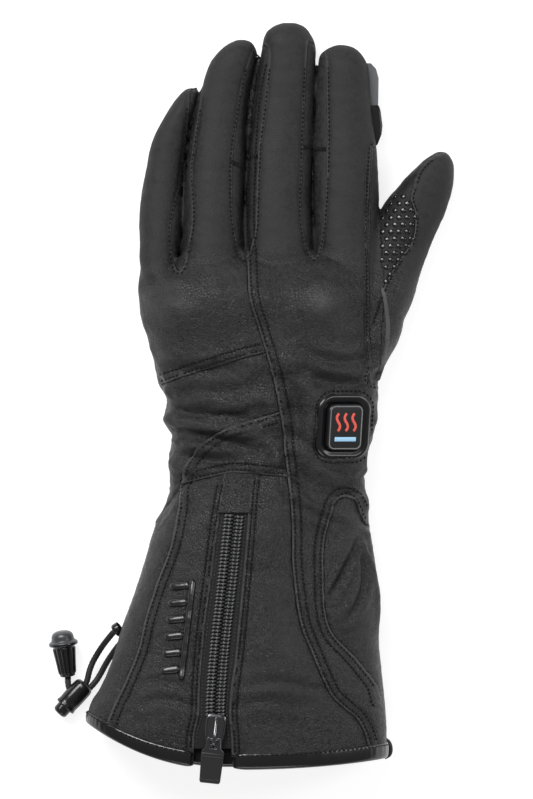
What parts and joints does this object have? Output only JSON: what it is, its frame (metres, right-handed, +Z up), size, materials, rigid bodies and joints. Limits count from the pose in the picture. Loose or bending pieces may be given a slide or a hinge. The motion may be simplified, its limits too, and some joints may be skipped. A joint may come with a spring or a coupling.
{
  "type": "heated leather gauntlet glove",
  "caption": "Padded leather heated glove for the left hand: flared zipped cuff, push-button control, hem drawcord with a spring lock, and a visor wiper on the index finger.",
  "frame": {"origin": "on the flat underside of the palm where the wrist begins, the glove lying palm down", "axes": "+Z up through the back of the hand, +Y along the fingers, +X towards the thumb"},
  "size_m": [0.1826, 0.342, 0.0573],
  "materials": {
    "leather": "matt charcoal-black sheepskin, fine grain, soft sheen",
    "grip_leather": "smooth black leather with raised round silicone dots",
    "gloss_leather": "glossy black binding leather",
    "zip_tape": "black woven nylon tape",
    "zip_coil": "black nylon coil",
    "zip_metal": "black enamelled die-cast metal",
    "button_surround": "soft black surround",
    "button_cap": "black cap with a grey border and a plain red and blue heat sign",
    "wiper_silicone": "grey silicone",
    "cord": "black braided elastic",
    "cord_plastic": "black moulded nylon"
  },
  "bodies": {
    "glove": {"back_panel_index": "leather", "middle_finger_back": "leather", "index_finger_back": "leather", "back_panel_little": "leather", "wrist_panel_upper": "leather", "wrist_panel_lower": "leather", "cuff_gusset": "leather", "cuff_panel_outer": "leather", "cuff_panel_inner": "leather", "cuff_pocket_panel": "leather", "palm_panel": "leather", "cuff_underside": "leather", "fourchette_little_ring": "leather", "fourchette_ring_middle": "leather", "fourchette_middle_index": "leather", "index_side_strip": "leather", "thumb_back": "leather", "thumb_palm": "grip_leather", "hem_binding": "gloss_leather", "raised_comb": "gloss_leather", "zip_top_patch": "leather", "zip_tape": "zip_tape", "zip_coil_little": "zip_coil", "zip_coil_index": "zip_coil", "zip_slider": "zip_metal", "button_bezel": "button_surround", "wiper_blade": "wiper_silicone", "wiper_foot": "gloss_leather", "cord_eyelet": "cord_plastic", "drawcord": "cord", "drawcord_tail": "cord", "cord_lock_barrel": "cord_plastic", "cord_end_bell": "cord_plastic"},
    "zip_pull": {"zip_pull": "zip_metal"},
    "button_cap": {"button_cap": "button_cap"},
    "lock_plunger": {"cord_lock_plunger": "cord_plastic"}
  },
  "joints": [
    {"name": "zip_pull_swing", "type": "hinge", "parent": "glove", "child": "zip_pull", "pos_m": [-0.02143, -0.15185, 0.05421], "axis": [-0.9945, 0.1045, 0], "range_deg": [0, 135]},
    {"name": "button_press", "type": "slide", "parent": "glove", "child": "button_cap", "axis": [-0.4326, 0.1357, -0.8913], "range_m": [0, 0.0007], "stiffness_N_per_m": 400},
    {"name": "cord_lock_press", "type": "slide", "parent": "glove", "child": "lock_plunger", "axis": [0.6816, 0.7317, 0], "range_m": [0, 0.003], "stiffness_N_per_m": 400}
  ]
}
